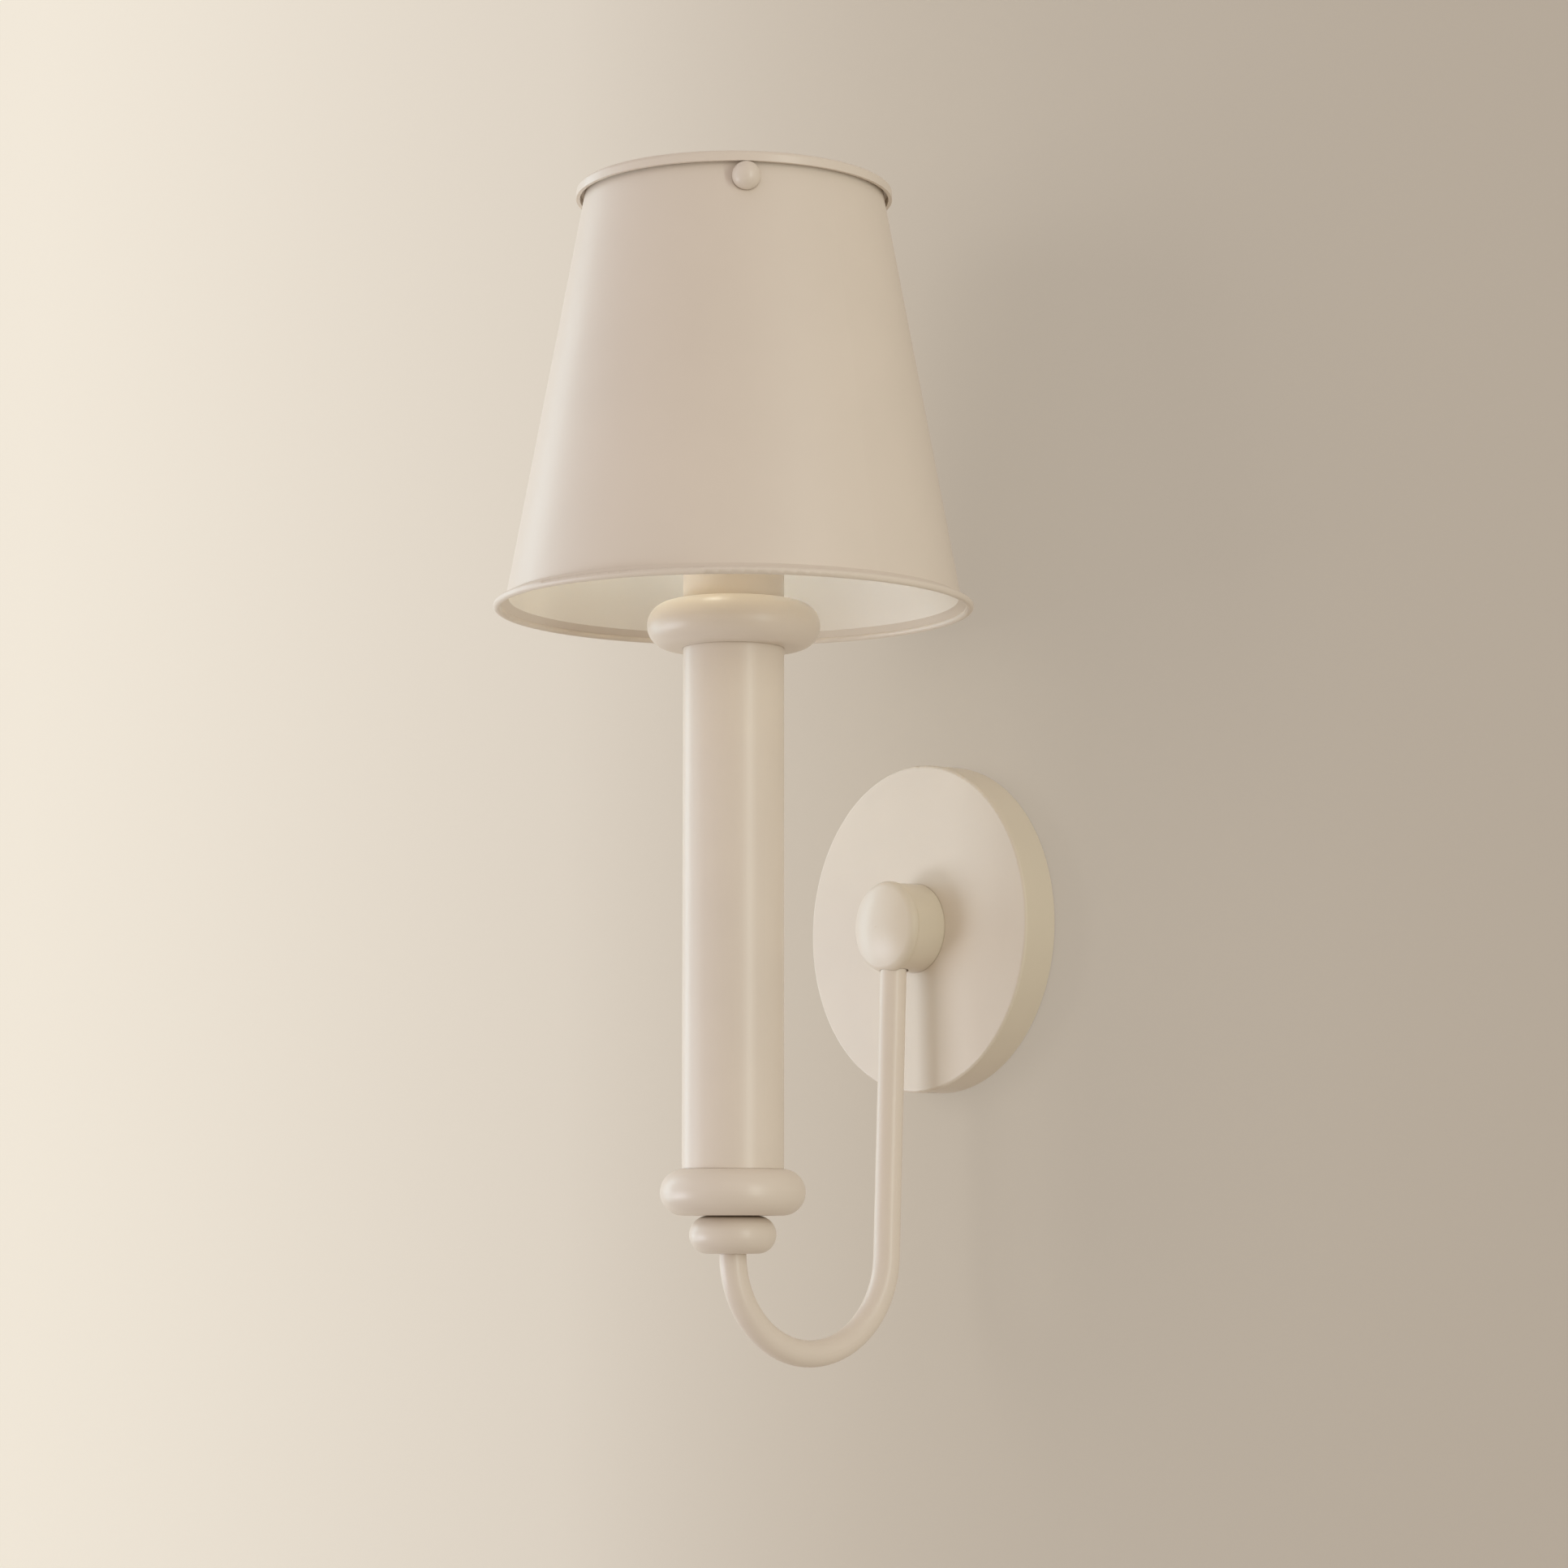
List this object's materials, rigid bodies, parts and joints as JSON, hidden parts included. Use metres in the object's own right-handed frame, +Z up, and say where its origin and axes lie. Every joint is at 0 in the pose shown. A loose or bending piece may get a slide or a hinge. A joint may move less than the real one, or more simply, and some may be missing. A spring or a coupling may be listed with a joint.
{
  "type": "wall light",
  "caption": "Wall light: round wall plate and domed hub, J-shaped arm with a round-edged boss and disc, straight column, and a conical painted metal shade with an open top ring.",
  "frame": {"origin": "centre of the wall plate's back face, on the wall", "axes": "+Y into the wall, -Y out of it into the room, +Z up, +X to the right for someone who looks at the wall"},
  "size_m": [0.1712, 0.1846, 0.4211],
  "materials": {
    "cream_paint": "satin",
    "shade_paint": "satin",
    "zinc_steel": "zinc plated",
    "fitter_paint": "satin",
    "plug_aluminium": "turned",
    "holder_moulding": "matt",
    "contact_brass": "bright",
    "bulb_metal": "bright",
    "bulb_glass": "frosted",
    "live_sleeving": "matt",
    "neutral_sleeving": "matt",
    "earth_sleeving": "matt",
    "connector_plastic": "gloss"
  },
  "bodies": {
    "light_frame": {"wall_plate": "cream_paint", "crossbar": "zinc_steel", "rim_screws": "zinc_steel", "earth_screw": "zinc_steel", "hub_collar": "cream_paint", "hub_cap": "cream_paint", "hub_threaded_tube": "zinc_steel", "hub_washer": "zinc_steel", "hub_nut": "zinc_steel", "arm": "cream_paint", "lower_boss": "cream_paint", "lower_disc": "cream_paint", "column_tube": "cream_paint", "upper_flange": "cream_paint", "column_plug": "plug_aluminium", "lampholder_sleeve": "cream_paint", "threaded_rod": "zinc_steel", "top_washer": "zinc_steel", "top_nut": "zinc_steel", "lampholder_body": "holder_moulding", "lampholder_shell": "contact_brass", "lampholder_contact": "contact_brass", "live_wire": "live_sleeving", "neutral_wire": "neutral_sleeving", "earth_wire": "earth_sleeving", "earth_ring_terminal": "contact_brass", "wire_connectors": "connector_plastic"},
    "shade_group": {"shade": "shade_paint", "top_ring": "cream_paint", "shade_fitter": "fitter_paint"},
    "ring_nut": {"shade_ring_nut": "holder_moulding"},
    "bulb": {"bulb_cap": "bulb_metal", "bulb_glass": "bulb_glass"},
    "ball_screw_1": {"ball_screw_1": "cream_paint"},
    "ball_screw_2": {"ball_screw_2": "cream_paint"},
    "ball_screw_3": {"ball_screw_3": "cream_paint"}
  },
  "joints": [
    {"name": "shade_lift", "type": "slide", "parent": "light_frame", "child": "shade_group", "axis": [0, 0, 1], "range_m": [0, 0.118]},
    {"name": "ring_nut_turn", "type": "hinge", "parent": "shade_group", "child": "ring_nut", "pos_m": [0, -0.099, 0.158], "axis": [0, 0, 1], "range_deg": [0, 1080]},
    {"name": "bulb_lift", "type": "slide", "parent": "light_frame", "child": "bulb", "axis": [0, 0, 1], "range_m": [0, 0.13]},
    {"name": "ball_screw_1_out", "type": "slide", "parent": "shade_group", "child": "ball_screw_1", "axis": [0.8151, -0.5498, 0.1824], "range_m": [0, 0.008]},
    {"name": "ball_screw_2_out", "type": "slide", "parent": "shade_group", "child": "ball_screw_2", "axis": [0.0686, 0.9808, 0.1824], "range_m": [0, 0.008]},
    {"name": "ball_screw_3_out", "type": "slide", "parent": "shade_group", "child": "ball_screw_3", "axis": [-0.8837, -0.431, 0.1824], "range_m": [0, 0.008]}
  ]
}
